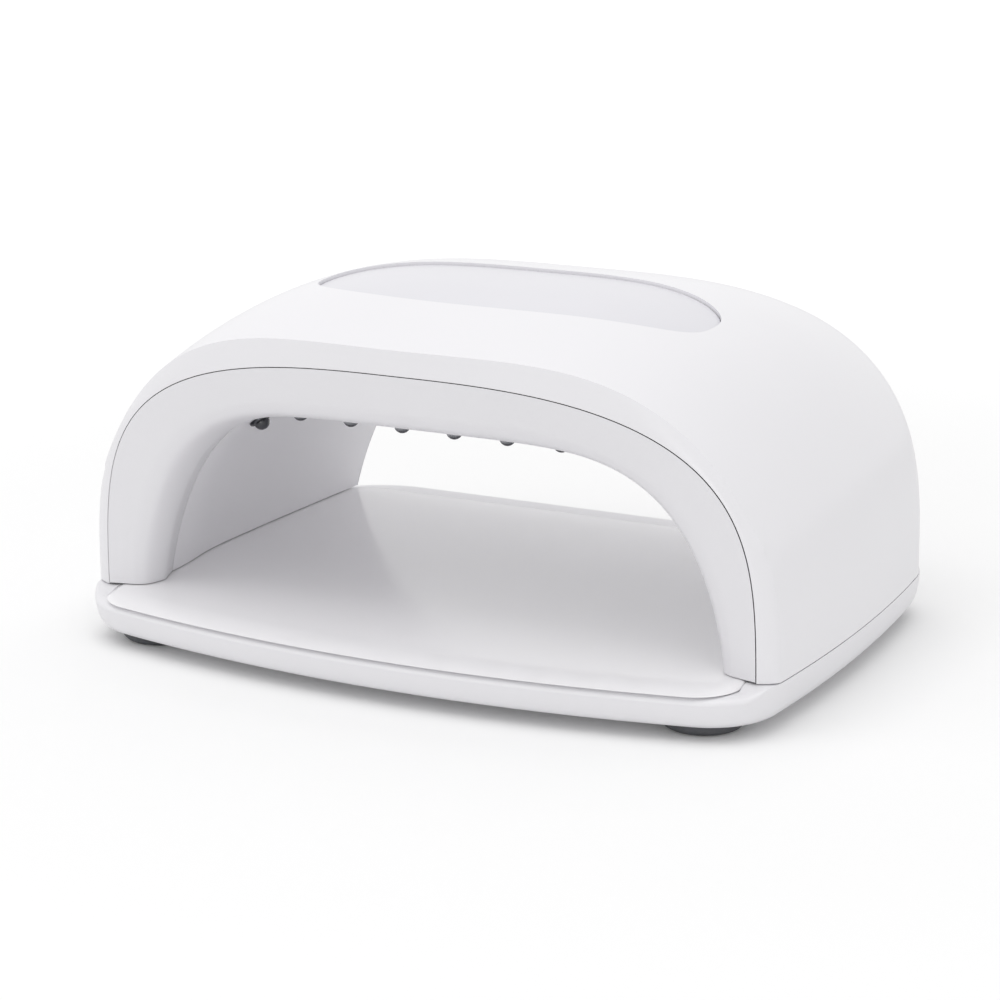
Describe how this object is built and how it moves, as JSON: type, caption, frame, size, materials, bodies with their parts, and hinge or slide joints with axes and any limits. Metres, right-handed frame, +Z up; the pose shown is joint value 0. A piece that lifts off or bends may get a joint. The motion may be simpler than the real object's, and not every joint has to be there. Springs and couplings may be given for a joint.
{
  "type": "nail lamp",
  "caption": "Arch-shaped rechargeable nail lamp with an open hand tunnel, slide-out palm tray, curved touch window on top and rear power switch.",
  "frame": {"origin": "middle of the lamp's outline, on the floor under the feet", "axes": "+X across the lamp, -Y out of the hand opening, +Z up"},
  "size_m": [0.2262, 0.1728, 0.1082],
  "materials": {
    "cover_white": "gloss",
    "bezel_white": "satin",
    "liner_white": "satin",
    "rear_white": "satin",
    "base_white": "gloss",
    "tray_white": "gloss",
    "window_grey": "gloss",
    "ring_chrome": "polished",
    "bead_clear": "clear epoxy",
    "cell_wrap": "shrink film",
    "inner_black": "moulded",
    "digit_black": "gloss",
    "socket_black": "moulded",
    "switch_black": "moulded",
    "rocker_black": "gloss",
    "sensor_black": "dark epoxy",
    "board_green": "solder mask",
    "steel_disc": "plated",
    "magnet_nickel": "nickel",
    "spring_steel": "plain",
    "standoff_brass": "turned",
    "screw_steel": "zinc",
    "foot_rubber": "matte"
  },
  "bodies": {
    "lamp_body": {"top_cover": "cover_white", "front_bezel": "bezel_white", "tunnel_liner": "liner_white", "rear_panel": "rear_white", "base_shell": "base_white", "base_magnets": "magnet_nickel", "foot_front_left": "foot_rubber", "foot_front_right": "foot_rubber", "foot_back_left": "foot_rubber", "foot_back_right": "foot_rubber", "display_window": "window_grey", "display_holder": "inner_black", "display_board": "board_green", "digit_display": "digit_black", "touch_springs": "spring_steel", "led_board": "board_green", "led_board_left": "board_green", "led_board_right": "board_green", "led_rings": "ring_chrome", "led_beads": "bead_clear", "led_beads_left": "bead_clear", "led_beads_right": "bead_clear", "hand_sensor": "sensor_black", "battery_cradle": "inner_black", "battery_cells": "cell_wrap", "control_board": "board_green", "board_standoffs": "standoff_brass", "charge_socket": "socket_black", "switch_body": "switch_black", "case_screws": "screw_steel"},
    "tray": {"palm_tray": "tray_white", "tray_discs": "steel_disc"},
    "rocker": {"power_rocker": "rocker_black"}
  },
  "joints": [
    {"name": "tray_slide", "type": "slide", "parent": "lamp_body", "child": "tray", "axis": [0, -1, 0], "range_m": [0, 0.17]},
    {"name": "power_rocker_hinge", "type": "hinge", "parent": "lamp_body", "child": "rocker", "pos_m": [0.042, 0.08254, 0.0816], "axis": [1, 0, 0], "range_deg": [-16, 0]}
  ]
}
